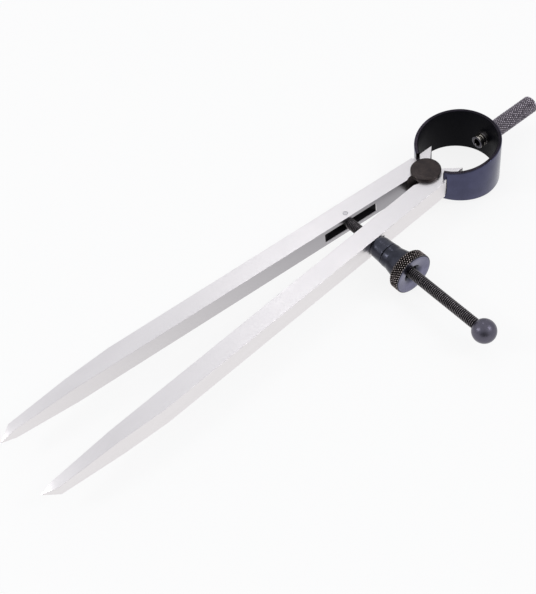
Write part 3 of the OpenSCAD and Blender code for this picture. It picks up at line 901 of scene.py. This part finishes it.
# %% The floor
def white_sheet(name, to_camera, to_metal):
    """White paint, mixed with a share of light of strength 1 for the camera and the metal."""
    made = Finish(name, Base_Color=(0.9, 0.9, 0.9, 1.0), Roughness=0.9)
    path = made.node("ShaderNodeLightPath").socket.node.outputs
    camera, metal = (Value(made, path[word]) for word in ("Is Camera Ray", "Is Glossy Ray"))
    share = camera * to_camera + metal * to_metal
    light = made.node("ShaderNodeEmission", None, [(1.0, 1.0, 1.0, 1.0), 1.0])
    both = made.tree.nodes.new("ShaderNodeMixShader")
    made.feed(both.inputs[0], share)
    made.tree.links.new(made.shader.outputs[0], both.inputs[1])
    made.tree.links.new(light.socket, both.inputs[2])
    out = made.tree.nodes["Material Output"]
    made.tree.links.new(both.outputs[0], out.inputs["Surface"])
    return made.material


FLOOR_HALF, FLOOR_Z = 3.0, -0.00447
sheet = bpy.data.meshes.new("floor")
sheet.from_pydata([(i * FLOOR_HALF, j * FLOOR_HALF, FLOOR_Z)
                   for i, j in ((-1, -1), (1, -1), (1, 1), (-1, 1))], [], [(0, 1, 2, 3)])
floor = bpy.data.objects.new("floor", sheet)
bpy.context.scene.collection.objects.link(floor)
sheet.materials.append(white_sheet("white_sheet", 0.85, 0.9))

# %% [markdown]
# ## Lamps
# Steel has no colour of its own until it has something to reflect. The white world gives
# an even base, and it darkens toward the room low behind the camera, which the ball shows
# as a soft dark patch below its middle. Three small lamps stand where the picture's glints
# ask for them. Each glint on the ball, the groove of the nut and the disc's rim gives the
# direction of its lamp: the view turned about the normal there. They are strong, because
# the oxide gives back only a twentieth of them.

# %% The world
ROOM_LIGHT, ROOM_DARK, DARK_EDGE = 0.82, 0.15, 0.65
DARK_WAY = (0.686, -0.693, 0.22)
world = bpy.data.worlds.new("studio")
bpy.context.scene.world = world
world.use_nodes = True
sky = world.node_tree


def sky_node(kind, **settings):
    """One node of the world with its settings made."""
    made = sky.nodes.new(kind)
    for word, value in settings.items():
        setattr(made, word, value)
    return made


back = sky.nodes["Background"]
back.inputs["Color"].default_value = (0.96, 0.97, 1.0, 1.0)
spot = sky_node("ShaderNodeTexCoord")
near = sky_node("ShaderNodeVectorMath", operation="DOT_PRODUCT")
near.inputs[1].default_value = DARK_WAY
fall = sky_node("ShaderNodeMapRange", interpolation_type="SMOOTHSTEP")
for place, value in zip((1, 2, 3, 4), (DARK_EDGE, 1.0, ROOM_LIGHT, ROOM_DARK)):
    fall.inputs[place].default_value = value
white = sky_node("ShaderNodeBackground")
white.inputs["Color"].default_value = (1.0, 1.0, 1.0, 1.0)
white.inputs["Strength"].default_value = 1.0
path = sky_node("ShaderNodeLightPath")
either = sky_node("ShaderNodeMixShader")
for a, b in ((spot.outputs["Generated"], near.inputs[0]),
             (near.outputs["Value"], fall.inputs[0]),
             (fall.outputs[0], back.inputs["Strength"]),
             (path.outputs["Is Camera Ray"], either.inputs[0]),
             (back.outputs[0], either.inputs[1]),
             (white.outputs[0], either.inputs[2]),
             (either.outputs[0], sky.nodes["World Output"].inputs["Surface"])):
    sky.links.new(a, b)
print("the room's strength is", ROOM_LIGHT, "and its dark side's", ROOM_DARK)


# %% The lamps
def soft_lamp(name, azimuth, height, away, size, radiance, tint=(1.0, 1.0, 1.0)):
    """A square lamp facing the divider. A lamp of side s that shines with radiance L gives
    L pi s^2 watts. Azimuth is counted from +X towards +Y, and height from the floor."""
    a, h = math.radians(azimuth), math.radians(height)
    toward = np.array([math.cos(a) * math.cos(h), math.sin(a) * math.cos(h), math.sin(h)])
    data = bpy.data.lights.new(name, "AREA")
    data.size = size
    data.energy = radiance * math.pi * size ** 2
    data.color = tint
    lamp = bpy.data.objects.new(name, data)
    side = np.cross([0, 0, 1], toward)
    side /= np.linalg.norm(side)
    spot = np.eye(4)
    centre = np.array([0.0, -0.06, 0.0])
    spot[:3] = np.column_stack([side, np.cross(toward, side), toward, centre + toward * away])
    lamp.matrix_world = Matrix(spot.tolist())
    bpy.context.scene.collection.objects.link(lamp)
    print(name, "gives", round(data.energy, 2), "W")


soft_lamp("top_lamp", 146, 54, 1.1, 0.12, 4.0)
soft_lamp("left_lamp", 240, 37, 0.9, 0.22, 7.0)
soft_lamp("right_lamp", 40, 43, 0.9, 0.2, 7.0, (0.95, 0.96, 1.0))
bpy.context.scene.view_settings.view_transform = "Standard"
